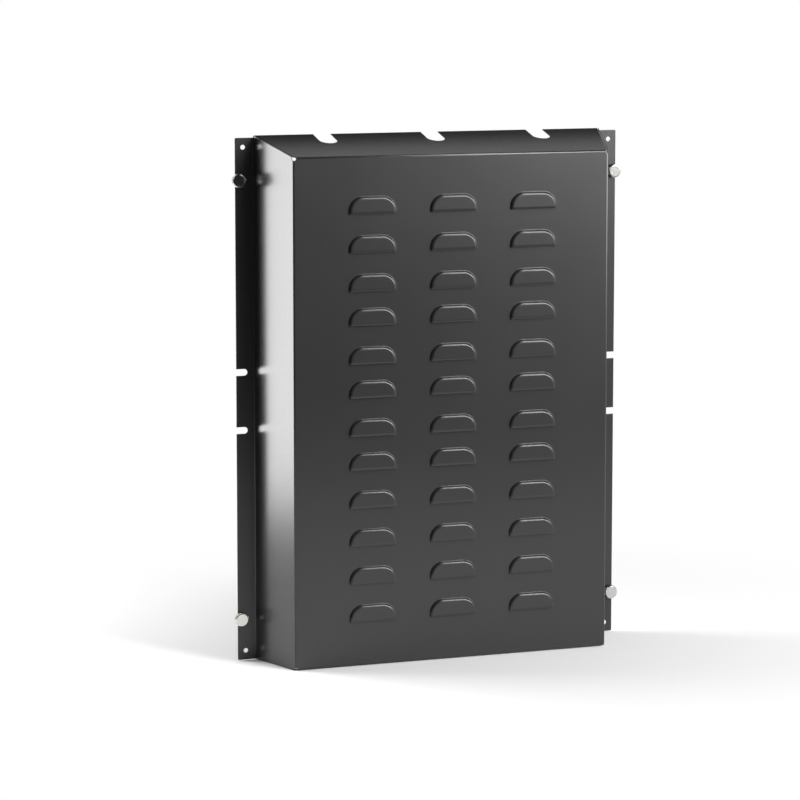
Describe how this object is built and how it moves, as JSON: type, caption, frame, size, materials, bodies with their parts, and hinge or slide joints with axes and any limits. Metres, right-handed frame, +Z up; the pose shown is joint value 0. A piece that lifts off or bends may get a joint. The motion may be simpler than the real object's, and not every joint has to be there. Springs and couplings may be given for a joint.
{
  "type": "extended rear panel",
  "caption": "Deep rear panel for an equipment rack: a louvred pan folded from sheet steel with leaning walls, side flanges, cable slots open to the back and knurled thumbscrews.",
  "frame": {"origin": "centre of the corner-hole pattern, on the plane of the flange backs", "axes": "+Z up, +Y from the louvred face into the rack, +X to the right for someone facing the louvres"},
  "size_m": [0.575, 0.1112, 0.7225],
  "materials": {
    "powder_coat": "satin black powder coat",
    "screw_plating": "polished nickel plate"
  },
  "bodies": {
    "panel": {"rear_panel": "powder_coat"},
    "screw_top_left": {"thumbscrew_top_left": "screw_plating"},
    "screw_top_right": {"thumbscrew_top_right": "screw_plating"},
    "screw_bottom_left": {"thumbscrew_bottom_left": "screw_plating"},
    "screw_bottom_right": {"thumbscrew_bottom_right": "screw_plating"}
  },
  "joints": [
    {"name": "top_left_turn", "type": "hinge", "parent": "panel", "child": "screw_top_left", "pos_m": [-0.278, 0, 0.302], "axis": [0, 1, 0], "continuous": true},
    {"name": "top_right_turn", "type": "hinge", "parent": "panel", "child": "screw_top_right", "pos_m": [0.278, 0, 0.302], "axis": [0, 1, 0], "continuous": true},
    {"name": "bottom_left_turn", "type": "hinge", "parent": "panel", "child": "screw_bottom_left", "pos_m": [-0.278, 0, -0.302], "axis": [0, 1, 0], "continuous": true},
    {"name": "bottom_right_turn", "type": "hinge", "parent": "panel", "child": "screw_bottom_right", "pos_m": [0.278, 0, -0.302], "axis": [0, 1, 0], "continuous": true}
  ]
}
